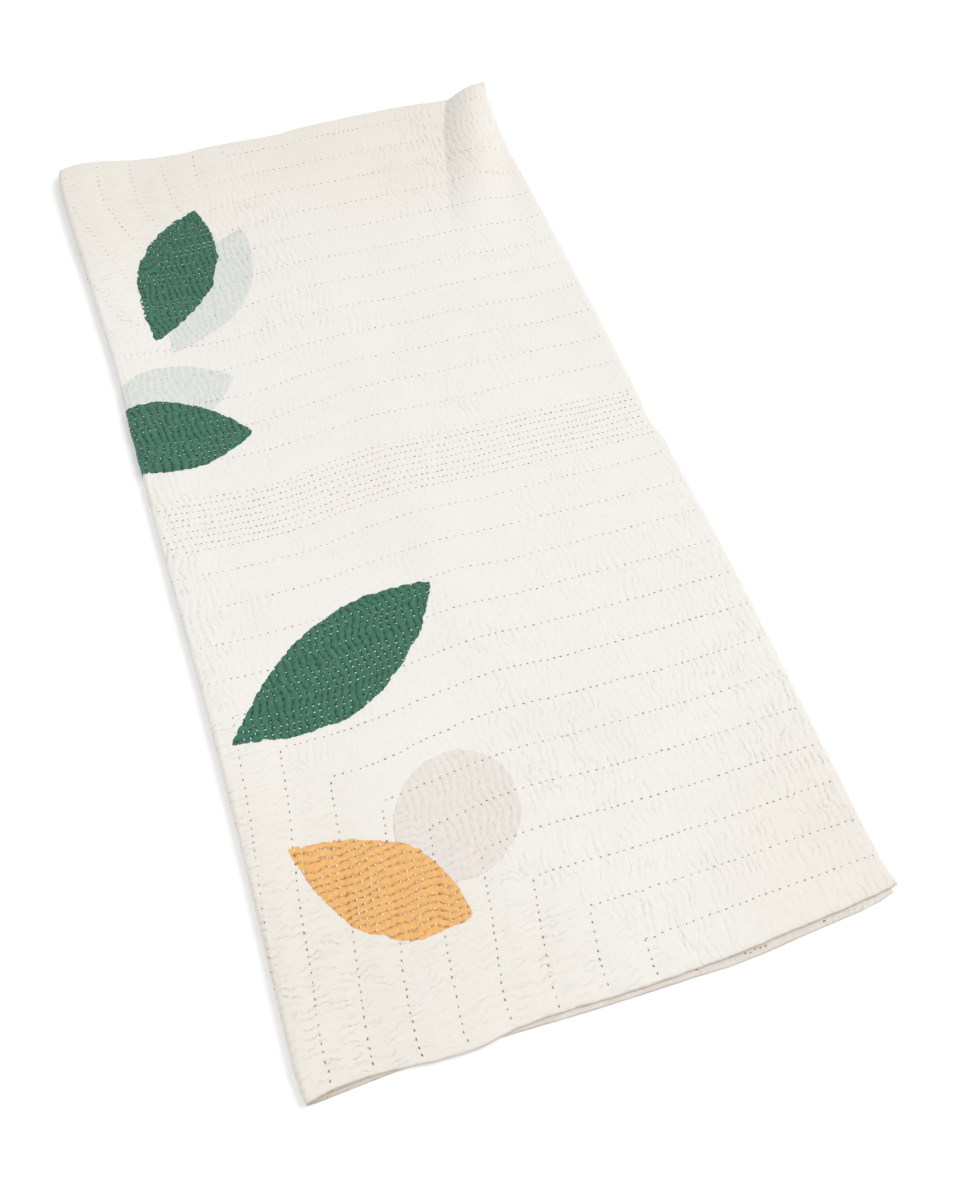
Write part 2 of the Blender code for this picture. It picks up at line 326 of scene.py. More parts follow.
def rowKnots():
    # places along the quilt where a row's number is known: every sixth row outside the band is red
    fine, pitch = sewing["fineRows"], sewing["pitch"]
    lastNear = (sewing["nearRows"] - 1) * fine
    bandFirst = lastNear + sewing["toBand"]
    bandLast = bandFirst + sewing["bandRows"] - 1
    farFirst = bandLast + sewing["fromBand"]
    farLast = farFirst + (sewing["farRows"] - 1) * fine
    farEnd = length - sewing["firstFar"]
    places = (
        (sewing["firstNear"] - pitch, -fine),
        (sewing["firstNear"] + pitch * lastNear / fine, lastNear),
        (sewing["bandStart"], bandFirst),
        (sewing["bandStart"] + sewing["bandWidth"], bandLast),
        (farEnd - pitch * (sewing["farRows"] - 1), farFirst),
        (farEnd + pitch, farLast + fine),
    )
    return np.array(places).T, bandFirst, bandLast, farLast


rowTable, bandFirst, bandLast, farLast = rowKnots()


def farShift(fromEnd):
    # how far the far corner's rows have moved from the fold, this far from the end
    return sewing["farLean"] * np.maximum(fromEnd - sewing["farBend"], 0)


def rowsAt(across, along):
    # (1 where the rows run lengthwise, the number of the row at this place, with parts of rows)
    side = np.abs(across)
    fine = sewing["fineRows"]
    straight = np.interp(along, *rowTable)
    atEnd = (side - sewing["lean"] * along) / (1 + sewing["fan"] * along)
    fromNear = fine * np.interp(atEnd, turnAcross[::-1], turnNumber[::-1])
    straightFar = side - farShift(length - along)
    fromFar = farLast - fine * (sewing["farTurn"] - straightFar) / sewing["farTurnPitch"]
    near = along < length / 2
    turned = np.where(near, fromNear, fromFar)
    lengthwise = np.where(near, turned > straight, turned < straight)
    return lengthwise, np.where(lengthwise, turned, straight)


def stitchPhase(way, row):
    # a whole number midway between two stitches of a row, so puffs of neighbouring rows meet
    drift = 0
    for amount, long, rows, seed in sewing["drift"]:
        drift = drift + amount * softNoise(way / long, row / rows, seed)
    return way / sewing["stitchPitch"] + drift


# Each cotton's colour when fresh and when aged, how much painted shade darkens its dips, how much its
# slubs show, how strong its wrinkles and how deep its dips are, how loosely it is sewn, its share of the
# puckers' full depth on a patch, and how far a cut edge strays in millimetres.
cottons = {
    "undyed": {
        "fresh": (0.742, 0.724, 0.684),
        "aged": (0.712, 0.673, 0.604),
        "dip": 0.04,
        "slub": 0.015,
        "wrinkles": 0.55,
        "valley": 0.00062,
        "loose": 1.0,
        "puckers": 0.0,
        "ragged": 0.0,
    },
    "green": {
        "fresh": (0.049, 0.158, 0.106),
        "aged": (0.040, 0.128, 0.083),
        "dip": 0.84,
        "slub": 0.20,
        "wrinkles": 0.25,
        "valley": 0.0017,
        "loose": 0.25,
        "puckers": 1.0,
        "ragged": 1.45,
    },
    "ochre": {
        "fresh": (0.775, 0.440, 0.165),
        "aged": (0.725, 0.395, 0.140),
        "dip": 0.40,
        "slub": 0.08,
        "wrinkles": 0.25,
        "valley": 0.0012,
        "loose": 0.25,
        "puckers": 0.9,
        "ragged": 1.50,
    },
    "paleGreen": {
        "fresh": (0.625, 0.648, 0.617),
        "aged": (0.575, 0.596, 0.562),
        "dip": 0.05,
        "slub": 0.06,
        "wrinkles": 0.6,
        "valley": 0.0008,
        "loose": 0.50,
        "puckers": 0.38,
        "ragged": 0.7,
    },
    "palePink": {
        "fresh": (0.698, 0.650, 0.607),
        "aged": (0.676, 0.622, 0.574),
        "dip": 0.05,
        "slub": 0.03,
        "wrinkles": 0.6,
        "valley": 0.0008,
        "loose": 0.50,
        "puckers": 0.38,
        "ragged": 0.8,
    },
}

patches = {
    "inside": 0.006,  # the puckers grow to their full size this far inside a patch
    "thick": 0.00028,
    "lift": 0.00012,  # from one cloth to the next
    "atEdge": 0.40,  # its edge is sewn down, to this share of its height
    "edgeReach": 0.005,  # and it rises to its full height over this distance
    "overReach": 0.003,  # it comes down over this distance past the edge of a patch below it
    "stackReach": 0.002,  # the cloth below gives way over this distance at its edge
    "closelySewn": 0.7,  # a patch with more puckers than this has white stitches and a finer mesh
    "margin": 1.5 * mm,  # and they keep this far inside its edge
    "leafLean": 1.12,  # a leaf is widest a little past its middle
    "leafFull": 0.82,
    "wobble": 0.0016,  # how far a cut edge strays from its plain shape
    "wobbleLength": 0.019,
    "ragLengths": (0.0065, 0.0026),  # of the broad and of the fine ragged bits of an edge
    "fineRags": 0.45,  # the size of a fine one to a broad one
    "press": 0.0011,  # the quilt's face is kept this far under a patch
    "underPress": 0.0006,  # and a patch this far under the one over it
    "deepStep": 0.0016,  # the mesh of a patch with deep puckers
    "calmStep": 0.0023,
    "hiddenStep": 0.008,
    "outlineStep": 0.0012,
}
Patch = namedtuple("Patch", "name shape across fromFar long wide turn layer cloth")
patchRows = (
    Patch("paleLeafFar", "leaf", 0.150, 0.262, 0.232, 0.098, 52, 0, "paleGreen"),
    Patch("greenLeafFar", "leaf", 0.116, 0.222, 0.246, 0.100, 64, 1, "green"),
    Patch("paleLeafFold", "leaf", 0.045, 0.428, 0.200, 0.098, 12, 0, "paleGreen"),
    Patch("greenLeafFold", "leaf", 0.028, 0.482, 0.236, 0.108, -8, 1, "green"),
    Patch("greenLeafMiddle", "leaf", 0.152, 0.842, 0.292, 0.114, 24, 0, "green"),
    Patch("pinkRound", "round", 0.226, 1.052, 0.138, 0.138, 0, 0, "palePink"),
    Patch("ochreLeaf", "leaf", 0.128, 1.092, 0.206, 0.096, -38, 1, "ochre"),
)


def halfWidth(patch, t, edge):
    # half of a patch's width at a share t of its length, on its left (-1) or right (1) edge
    t = np.clip(t, 0, 1)
    if patch.shape == "round":
        half = patch.wide * np.sqrt(t * (1 - t))
    else:
        half = patch.wide / 2 * np.sin(np.pi * t ** patches["leafLean"]) ** patches["leafFull"]
    stray = softNoise(t * patch.long / patches["wobbleLength"], patch.turn + 5 * edge, 14)
    stray = stray * smoothStep(8 * np.minimum(t, 1 - t))
    return np.maximum(half + stray * patches["wobble"] * cottons[patch.cloth]["ragged"], 0)


def insidePatch(patch, across, along):
    # how far inside a patch's outline a place is, in metres
    angle = math.radians(patch.turn)
    x = across - patch.across
    y = along - (length - patch.fromFar)
    long = x * math.cos(angle) + y * math.sin(angle)
    wide = y * math.cos(angle) - x * math.sin(angle)
    t = long / patch.long + 0.5
    inEnds = np.minimum(t, 1 - t) * patch.long * 2
    return np.minimum(halfWidth(patch, t, np.sign(wide)) - np.abs(wide), inEnds)


def patchShare(across, along):
    # 0 on bare cloth and 1 well inside a patch, or a share of that in a pale one
    share = np.zeros(np.shape(across))
    for patch in patchRows:
        inside = smoothStep(insidePatch(patch, across, along) / patches["inside"] + 0.5)
        share = np.maximum(share, inside * cottons[patch.cloth]["puckers"])
    return share


def patchStack(across, along):
    # how thick the patches lie on the quilt at a place
    stack = np.zeros(np.shape(across))
    for patch in patchRows:
        stack = stack + smoothStep(insidePatch(patch, across, along) / patches["stackReach"] + 0.5)
    return stack * (patches["thick"] + patches["lift"])


def underPatch(across, along):
    # 1 where the quilt's face is well under a patch
    under = np.zeros(np.shape(across))
    for patch in patchRows:
        inside = insidePatch(patch, across, along) / patches["stackReach"]
        under = np.maximum(under, smoothStep(inside - 0.9))
    return under


puckers = {
    "bare": 0.00042,  # the depth of a pucker on bare, crinkled cloth
    "fold": 0.00060,  # more of it round the fold
    "foldReach": 0.05,
    "patch": 0.00135,  # and on a patch
    "round": 0.7,  # the power that rounds a puff
    "row": 0.4,  # how much a row of stitches holds the puffs down
    "lump": 0.3,  # how much the puffs of a patch differ
    "lumpLength": 0.006,
    "hemReach": 0.006,  # they fade this far from the hem
    "under": 0.5,  # the underside's share of their depth
}

# Where the quilt is crinkled most: the middle of each place, its reach, and what it adds.
Crinkle = namedtuple("Crinkle", "across along reachAcross reachAlong amount")
crinkleRows = (
    Crinkle(0.000, 0.050, 0.24, 0.32, 0.85),  # the near corner at the fold
    Crinkle(0.000, 0.600, 0.12, 1.00, 0.65),  # along the fold
    Crinkle(0.620, 0.200, 0.18, 0.42, 0.85),  # beside the open edge
    Crinkle(0.480, 0.560, 0.14, 0.30, 0.15),
    Crinkle(0.635, 1.180, 0.15, 0.30, 0.35),
    Crinkle(0.100, 1.170, 0.12, 0.15, 0.60),
    Crinkle(0.250, 1.070, 0.09, 0.32, 0.60),
    Crinkle(0.330, 0.260, 0.15, 0.24, 0.50),
    Crinkle(0.300, 0.030, 0.34, 0.17, 0.55),  # along the near end
    Crinkle(0.550, 1.190, 0.08, 0.15, 1.00),  # on the ridge
    Crinkle(0.470, 1.120, 0.10, 0.20, 0.35),
)

crinkling = {
    "even": 0.40,  # everywhere
    "broad": 0.30,  # and this much more or less in broad places
    "broadSize": (0.060, 0.050),  # across and along
    "fine": 0.20,
    "fineSize": 0.025,
    "least": 0.08,
    "most": 1.35,
}


def crinkled(across, along):
    side = np.abs(across)
    wide, long = crinkling["broadSize"]
    fine = crinkling["fineSize"]
    share = crinkling["even"] + crinkling["broad"] * softNoise(across / wide, along / long, 8)
    share = share + crinkling["fine"] * softNoise(across / fine, along / fine, 9)
    for place in crinkleRows:
        near = bell((side - place.across) / place.reachAcross)
        share = share + place.amount * (near * bell((along - place.along) / place.reachAlong))
    return np.clip(share, crinkling["least"], crinkling["most"])


def runAlong(across, along):
    # the distance along the quilt, with the near end's own unevenness
    near = readTable(endRows, "across", np.abs(across), "nearUpper") * mm
    return along - near * bell(along / quilt["endFade"])


def puckerHeight(across, along):
    # the puffs between the stitches: 0.5 on a puff's top and -1 at a stitch, times the depth
    lengthwise, row = rowsAt(across, along)
    way = np.where(lengthwise, runAlong(across, along), across)
    puff = np.abs(np.cos(np.pi * stitchPhase(way, row))) ** puckers["round"]
    onRow = np.cos(np.pi * row) ** 4
    share = patchShare(across, along)
    atFold = bell(across / puckers["foldReach"])
    bare = puckers["bare"] * crinkled(across, along) + puckers["fold"] * atFold
    lump = 1 + puckers["lump"] * softNoise(way / puckers["lumpLength"], row, 10) * share
    depth = bare * (1 - share) + puckers["patch"] * share
    return depth * lump * (puff * (1 - puckers["row"] * onRow) - 0.5 - 0.5 * onRow * (1 - puff))


def rowSwell(across, along):
    _, row = rowsAt(across, along)
    offBand = smoothStep((bandFirst - row) / 2) + smoothStep((row - bandLast) / 2)
    return quilt["swell"] * np.sin(np.pi * row / sewing["fineRows"]) ** 2 * offBand


def toHem(across, along):
    return np.minimum(np.minimum(along, length - along), width - np.abs(across))


def onUpper(across):
    # 1 on the upper leaf and 0 on the lower, with a soft change round the fold
    return smoothStep((across + 0.006) / 0.010)


def clothRelief(across, along):
    # how far the outer face stands out at a place, over the plain cloth. The lower leaf lies flat,
    # with its patches let in, so that nothing stands out under it.
    calm = smoothStep(toHem(across, along) / puckers["hemReach"])
    pucker = puckerHeight(across, along)
    upper = onUpper(across)
    lower = np.minimum(pucker, 0) * puckers["under"] - patchStack(across, along)
    return ((rowSwell(across, along) + pucker) * upper + lower * (1 - upper)) * calm


def onCloth(across, along, out):
    # the point this far out of the cloth's outer face
    _, _, outWay = clothWays(across, along)
    rest = quilt["cloth"] / 2 + clothRelief(across, along)
    return clothMiddle(across, along) + outWay * (rest + out)[..., None] + clothShift


clothShift = np.zeros(3)
print("cloth rules ready")


def steps(start, end, step):
    return list(np.linspace(start, end, max(1, round((end - start) / step)) + 1))


def quiltColumns(leafStep, lowerStep, turnStep):
    turnEdge = math.pi / 2 * max(row.radius for row in sideRows) * mm
    lower = steps(-width, -turnEdge, lowerStep)
    turn = steps(-turnEdge, turnEdge, turnStep)
    return lower[:-1] + turn[:-1] + steps(turnEdge, width, leafStep)


def addGrid(bm, columns, lines, side):
    grid = [[bm.verts.new((across, along, side)) for across in columns] for along in lines]
    for before, after in zip(grid, grid[1:]):
        for i in range(len(columns) - 1):
            corners = [before[i], before[i + 1], after[i + 1], after[i]]
            bm.faces.new(corners if side > 0 else corners[::-1])
    return grid


def gridRims(grid):
    # the grid's four edges in one direction all round
    near = list(grid[0])
    upper = [row[-1] for row in grid]
    far = list(reversed(grid[-1]))
    lower = [row[0] for row in reversed(grid)]
    return [near, upper, far, lower]


def rimPlace(vert, rim):
    return (vert.co.x, vert.co.y, -vert.co.x, -vert.co.y)[rim]


def zipRims(bm, outer, inner, rim):
    i = k = 0
    while i < len(outer) - 1 or k < len(inner) - 1:
        nextOuter = rimPlace(outer[i + 1], rim) if i < len(outer) - 1 else math.inf
        nextInner = rimPlace(inner[k + 1], rim) if k < len(inner) - 1 else math.inf
        if nextOuter <= nextInner + 1e-7:
            bm.faces.new((outer[i + 1], outer[i], inner[k]))
            i += 1
        else:
            bm.faces.new((inner[k], inner[k + 1], outer[i]))
            k += 1


def hemLoop(bm, rims):
    # a line of points round the hem's middle, which stands out a little
    out = ((0, -1), (1, 0), (0, 1), (-1, 0))
    corners = {}
    loops = []
    for rim, verts in enumerate(rims):
        loop = []
        for n, vert in enumerate(verts):
            x, y = out[rim]
            if n == 0 or n == len(verts) - 1:
                other = out[rim - 1] if n == 0 else out[(rim + 1) % 4]
                x, y = (x + other[0]) * 0.7, (y + other[1]) * 0.7
            if vert not in corners:
                place = (vert.co.x + x * quilt["rimOut"], vert.co.y + y * quilt["rimOut"], 0)
                corners[vert] = bm.verts.new(place)
            loop.append(corners[vert])
        loops.append(loop)
    return loops


def cutForPuckers(bm):
    # halves the edges that lie along a row, so that each puff has enough points
    found = []
    for edge in bm.edges:
        a, b = (vert.co for vert in edge.verts)
        middle = (a + b) / 2
        inside = 0 < middle.y < length and middle.x < width
        if a.z < 1 or b.z < 1 or not inside or middle.x < quilt["plainFold"]:
            continue
        lengthwise, _ = rowsAt(np.array(middle.x), np.array(middle.y))
        if abs(a.x - b.x) < 1e-7 if lengthwise else abs(a.y - b.y) < 1e-7:
            found.append(edge)
    bmesh.ops.subdivide_edges(bm, edges=found, cuts=1)


def flatQuilt():
    # the quilt before it is folded, as a thin slab: z is 1 on the outer face and -1 on the inner
    bm = bmesh.new()
    lines = steps(0, length, quilt["lineStep"])
    lines = [0, quilt["hemLine"]] + lines[1:-1] + [length - quilt["hemLine"], length]
    columns = quiltColumns(quilt["columnStep"], quilt["hiddenStep"], quilt["turnStep"])
    outer = addGrid(bm, columns, lines, 1)
    # the inside is plainer, but has all the lines near the two ends
    insideLines = lines[:7] + lines[7:-7:3] + lines[-7:]
    columns = quiltColumns(quilt["insideStep"], quilt["insideStep"], 2 * quilt["turnStep"])
    inner = addGrid(bm, columns, insideLines, -1)
    outerRims = gridRims(outer)
    hems = hemLoop(bm, outerRims)
    for rim, (outerRim, hem, innerRim) in enumerate(zip(outerRims, hems, gridRims(inner))):
        for i in range(len(outerRim) - 1):
            bm.faces.new((outerRim[i + 1], outerRim[i], hem[i], hem[i + 1]))
        zipRims(bm, hem, innerRim, rim)
    cutForPuckers(bm)
    return bm


def foldQuilt(places):
    across, along, side = places.T
    _, _, outWay = clothWays(across, along)
    fromHem = np.maximum(toHem(across, along), 0)
    thin = 1 - quilt["rimThin"] * np.exp(-((fromHem / quilt["rimReach"]) ** 2))
    relief = np.where(side > 0, clothRelief(across, along), 0)
    press = np.where(side > 0, underPatch(across, along) * patches["press"], 0)
    out = side * quilt["cloth"] / 2 * thin + relief - press
    return clothMiddle(across, along) + outWay * out[:, None]


def flatPlaces(bm):
    return np.array([vert.co[:] for vert in bm.verts], float)


# How much painted shade darkens the cotton in some places, from 0 to 1, and how far each of them reaches:
# along the near end's hem where the leaves meet, just inside the mouth between the leaves, and at the far
# open corner.
shadeTint = {
    # the dark tan that the painted shade turns the cotton to
    "colour": (0.47, 0.37, 0.28),
    "nearHem": 0.68,  # it is 1 at the fold
    "atFold": 0.11,
    "hemReach": 0.0010,
    "insideLower": 0.34,  # just inside the mouth between the leaves
    "insideUpper": 0.80,
    "insideReach": 0.016,
    "farCorner": 0.40,
    "cornerReach": 0.010,
    "blotch": (0.75, 0.45, 0.012, 0.006),  # its mean, how much it varies, and the blotches' size
}

# How yellowed it is: the reach of each yellow place, and its strength.
yellowing = {
    "nearFold": (0.42, 1.0),
    "nearOpen": (0.30, 0.7),
    "farEnd": (0.34, 0.8),
}


def paintedShadeAt(across, along, side):
    # 1 where the painted shade is darkest; side is -1 on its inner face
    fromEnd = np.maximum(along, 0)
    mean, varies, blotchAcross, blotchAlong = shadeTint["blotch"]
    blotch = mean + varies * softNoise(across / blotchAcross, along / blotchAlong, 21)
    hem = np.maximum(bell(across / shadeTint["atFold"]), shadeTint["nearHem"])
    hem = hem * np.exp(-((fromEnd / shadeTint["hemReach"]) ** 2))
    inside = np.where(across < 0, shadeTint["insideLower"], shadeTint["insideUpper"])
    inside = np.where(side < 0, inside, 0) * np.exp(-((fromEnd / shadeTint["insideReach"]) ** 2))
    fromCorner = np.hypot(across - width, (along - length) / 2)
    corner = shadeTint["farCorner"] * bell(fromCorner / shadeTint["cornerReach"])
    return np.maximum(np.maximum(hem, inside) * blotch, corner)


def yellowed(across, along):
    # 1 where the cotton is yellowest, from how far each yellow place is away
    away = {
        "nearFold": np.hypot(across, along * 0.8),
        "nearOpen": np.hypot(across - width, along),
        "farEnd": length - along,
    }
    shares = [strength * bell(away[place] / reach) for place, (reach, strength) in yellowing.items()]
    return np.max(shares, axis=0)


def clothNotes(across, along, side):
    # what the cotton's material reads at each point
    lengthwise, row = rowsAt(across, along)
    return {
        "lengthwise": lengthwise,
        "row": row,
        "acrossPhase": stitchPhase(across, row),
        "alongPhase": stitchPhase(runAlong(across, along), row),
        "crinkled": crinkled(across, along),
        "aged": yellowed(across, along),
        "paintedShade": paintedShadeAt(across, along, side),
    }


def addObject(name, data):
    made = bpy.data.objects.new(name, data)
    bpy.context.collection.objects.link(made)
    return made


def makeMesh(name, points, faces, flat, material):
    # a mesh with its flat places as a UV map, and what the cotton materials read
    mesh = bpy.data.meshes.new(name)
    mesh.from_pydata(points.tolist(), [], faces)
    mesh.shade_smooth()
    uv = mesh.uv_layers.new(name="flatCloth")
    corners = np.zeros(len(mesh.loops), np.int32)
    mesh.loops.foreach_get("vertex_index", corners)
    uv.data.foreach_set("uv", flat[corners, :2].astype(np.float32).ravel())
    side = flat[:, 2] if flat.shape[1] > 2 else np.ones(len(flat))
    for title, values in clothNotes(flat[:, 0], flat[:, 1], side).items():
        layer = mesh.attributes.new(title, "FLOAT", "POINT")
        layer.data.foreach_set("value", values.astype(np.float32))
    mesh.materials.append(material)
    return addObject(name, mesh)


def makeQuilt(material):
    global clothShift
    bm = flatQuilt()
    bm.verts.index_update()
    flat = flatPlaces(bm)
    faces = [[vert.index for vert in face.verts] for face in bm.faces]
    bm.free()
    points = foldQuilt(flat)
    low, high = points.min(0), points.max(0)
    middle = (np.array(cadBox[0]) + np.array(cadBox[1])) / 2
    clothShift = (middle - (low + high) / 2) * (1, 1, 0)
    piece = makeMesh("quiltCloth", points + clothShift, faces, flat, material)
    moved = [round(step / mm, 1) for step in clothShift]
    print("quilt cloth:", countTriangles(piece), "triangles, moved by", moved)
    return piece


def isCloselySewn(patch):
    return cottons[patch.cloth]["puckers"] > patches["closelySewn"]


def patchOutline(patch):
    # points round a patch, ragged as hand-cut cloth is
    t = (1 - np.cos(np.linspace(0, np.pi, 240))) / 2
    long = np.concatenate([t, t[-2:0:-1]]) * patch.long - patch.long / 2
    wide = np.concatenate([-halfWidth(patch, t, -1), halfWidth(patch, t, 1)[-2:0:-1]])
    sides = np.hypot(np.diff(np.append(long, long[0])), np.diff(np.append(wide, wide[0])))
    around = np.concatenate([[0], np.cumsum(sides)])
    count = round(around[-1] / patches["outlineStep"])
    at = np.arange(count) * around[-1] / count
    long = np.interp(at, around, np.append(long, long[0]))
    wide = np.interp(at, around, np.append(wide, wide[0]))
    broad, fine = patches["ragLengths"]
    ragged = softNoise(at / broad, patch.long * 90, 12)
    ragged = ragged + patches["fineRags"] * softNoise(at / fine, patch.wide * 70, 13)
    ragged = ragged * cottons[patch.cloth]["ragged"] * mm
    away = np.stack([np.roll(wide, -1) - np.roll(wide, 1), np.roll(long, 1) - np.roll(long, -1)], 1)
    away /= np.maximum(np.linalg.norm(away, axis=1, keepdims=True), 1e-9)
    return patchPlace(patch, long + away[:, 0] * ragged, wide + away[:, 1] * ragged)


def patchPlace(patch, long, wide):
    # flat places from places along and square to the patch's own length
    angle = math.radians(patch.turn)
    across = patch.across + long * math.cos(angle) - wide * math.sin(angle)
    along = length - patch.fromFar + long * math.sin(angle) + wide * math.cos(angle)
    return np.stack([across, along], 1)


def fillOutline(patch, outline, step):
    # (flat points, triangles) inside the outline, on even points; the outline's points come first
    low, high = outline.min(0), outline.max(0)
    us, vs = np.meshgrid(np.arange(low[0], high[0], step), np.arange(low[1], high[1], step * 1.1))
    us = us + (np.arange(len(us)) % 2)[:, None] * step / 2
    inner = np.stack([us.ravel(), vs.ravel()], 1)
    inner = inner[insidePatch(patch, inner[:, 0], inner[:, 1]) > patches["margin"] + step / 2]
    points = [Vector(point) for point in np.concatenate([outline, inner])]
    found = delaunay_2d_cdt(points, [], [list(range(len(outline)))], 1, 1e-7)
    return np.array([vert[:] for vert in found[0]]), [list(face) for face in found[2]]


def makePatch(patch, material):
    outline = patchOutline(patch)
    step = patches["deepStep" if isCloselySewn(patch) else "calmStep"]
    topFlat, topFaces = fillOutline(patch, outline, step)
    lowFlat, lowFaces = fillOutline(patch, outline, patches["hiddenStep"])
    top = onCloth(topFlat[:, 0], topFlat[:, 1], heightsOf(patch, topFlat)[0])
    low = onCloth(lowFlat[:, 0], lowFlat[:, 1], heightsOf(patch, lowFlat)[1])
    count, around = len(topFlat), len(outline)
    walls = [[(i + 1) % around, i, i + count, (i + 1) % around + count] for i in range(around)]
    under = [[i + count for i in reversed(face)] for face in lowFaces]
    flat = np.concatenate([topFlat, lowFlat])
    piece = makeMesh(patch.name, np.concatenate([top, low]), topFaces + under + walls, flat, material)
    piece.data.set_sharp_from_angle(angle=math.radians(60))  # the cut edge is crisp
    return piece


def heightsOf(patch, flat):
    # how far a patch's two faces are above the quilt's own, with any patch under it
    across, along = flat.T
    inside = smoothStep(insidePatch(patch, across, along) / patches["edgeReach"])
    edge = patches["atEdge"] + (1 - patches["atEdge"]) * inside
    low = patches["lift"] * edge
    for other in patchRows:
        if other.layer < patch.layer:
            over = smoothStep(insidePatch(other, across, along) / patches["overReach"] + 1)
            low = low + over * (patches["thick"] + patches["lift"])
        if other.layer > patch.layer:
            under = smoothStep(insidePatch(other, across, along) / patches["stackReach"] - 0.9)
            low = low - patches["underPress"] * under
    return low + patches["thick"] * edge, low


def rowPath(row):
    # a row's flat places from fold to open edge on the upper leaf, as one or two straight parts
    place = float(np.interp(row, rowTable[1], rowTable[0]))
    near = place < length / 2
    fine = sewing["fineRows"]
    step = sewing["pathStep"]
    end = place if near else length - place
    fromEnd = np.arange(sewing["edge"], max(end, sewing["edge"] + step), step)
    if near:
        atEnd = float(np.interp(row / fine, turnNumber, turnAcross))
        leaning = atEnd + (sewing["lean"] + sewing["fan"] * atEnd) * fromEnd
    else:
        leaning = sewing["farTurn"] - (farLast - row) / fine * sewing["farTurnPitch"] + farShift(fromEnd)
    turn = leaning[-1]
    wobbleAlong, wobbleAcross = sewing["wobbleLengths"]
    strayAlong, strayAcross = sewing["strayLengths"]
    group = row / sewing["strayRows"]
    parts = []
    if turn > sewing["leastTurn"]:
        shown = leaning > -sewing["pastFold"]
        fromEnd, leaning = fromEnd[shown], leaning[shown]
        stray = sewing["wobble"] * softNoise(fromEnd / wobbleAlong, row * 0.5 + 9, 15)
        stray = stray + sewing["stray"] * softNoise(fromEnd / strayAlong, group, 17)
        parts.append((leaning + stray, fromEnd if near else length - fromEnd, True))
    across = np.arange(max(turn, 0) + mm, width - sewing["edge"], step)
    along = place + sewing["wobble"] * softNoise(across / wobbleAcross, row * 0.5, 16)
    if not bandFirst <= row <= bandLast:
        along = along + sewing["stray"] * softNoise(across / strayAcross, group, 18)
    parts.append((across, along, False))
    return parts


def stitchesOn(part, leaf):
    # flat places of a row's stitches on one leaf, in the dips between the puffs
    across, along, lengthwise = part
    if leaf < 0:
        below = across > sewing["underEdge"]
        across, along = -across[below], along[below]
    if len(across) < sewing["leastSteps"]:
        return np.zeros((0, 3))
    _, row = rowsAt(across, along)
    phase = stitchPhase(runAlong(across, along) if lengthwise else across, row)
    if phase[-1] < phase[0]:
        across, along, phase = across[::-1], along[::-1], phase[::-1]
    inBand = bandFirst - 0.5 < row.mean() < bandLast + 0.5
    gap = sewing["bandStitches"] if inBand else 1
    whole = np.arange(math.ceil(phase[0] - 0.5) + 0.5 + gap * row.mean() % 1 * inBand, phase[-1], gap)
    places = [np.interp(whole, phase, across), np.interp(whole, phase, along)]
    return np.stack([*places, np.full(len(whole), float(lengthwise))], 1)


def sewRows(leaf):
    # (red, undyed) stitches of every row on one leaf, 1 for the upper and -1 for the lower
    red, fine = [], []
    firstRow = math.ceil(np.interp(sewing["edge"], *rowTable))
    lastRow = math.floor(np.interp(length - sewing["edge"], *rowTable))
    for row in range(firstRow, lastRow + 1):
        inBand = bandFirst <= row <= bandLast
        isRed = inBand or (row % sewing["fineRows"] == 0)
        for part in rowPath(row):
            (red if isRed else fine).append(stitchesOn(part, leaf))
    return np.concatenate(red), np.concatenate(fine)


def sewStitches():
    # flat places of all the stitches, by thread, with 1 where a row runs lengthwise
    red, fine = sewRows(1)
    redUnder, _ = sewRows(-1)
    clear = toHem(redUnder[:, 0], redUnder[:, 1]) > sewing["underEdge"]
    strong = np.array([deepPatchAt(across, along) for across, along in fine[:, :2]])
    undyed = fine[~strong]
    near = undyed[:, 1] < length / 2
    return {
        "redStitches": red,
        "redStitchesUnder": redUnder[clear],
        "whiteStitches": fine[strong],
        "undyedStitchesNear": undyed[near],
        "undyedStitchesFar": undyed[~near],
    }


def deepPatchAt(across, along):
    # whether the top patch at a place is a closely sewn one
    found = False
    for patch in sorted(patchRows, key=lambda row: row.layer):
        if insidePatch(patch, across, along) > patches["margin"]:
            found = isCloselySewn(patch)
    return found


def addNode(tree, kind, **settings):
    node = tree.nodes.new(kind)
    for key, value in settings.items():
        setattr(node, key, value)
    return node


def feed(tree, socket, value):
    # links a node's output to a socket, or sets the socket's number or colour
    if isinstance(value, bpy.types.NodeSocket):
        tree.links.new(value, socket)
    else:
        socket.default_value = (*value, 1.0) if isinstance(value, tuple) else value


def calc(tree, operation, *values):
    node = addNode(tree, "ShaderNodeMath", operation=operation)
    for socket, value in zip(node.inputs, values):
        feed(tree, socket, value)
    return node.outputs[0]


def floats(*titles):
    # sockets for plain numbers
    return dict.fromkeys(titles, "Float")


def newGroup(name, kind, inputs, outputs):
    # (a node group's tree, the sockets it is given, and those it fills)
    tree = bpy.data.node_groups.new(name, kind)
    for way, sockets in (("INPUT", inputs), ("OUTPUT", outputs)):
        for title, socket in sockets.items():
            tree.interface.new_socket(title, in_out=way, socket_type="NodeSocket" + socket)
    return tree, addNode(tree, "NodeGroupInput").outputs, addNode(tree, "NodeGroupOutput").inputs


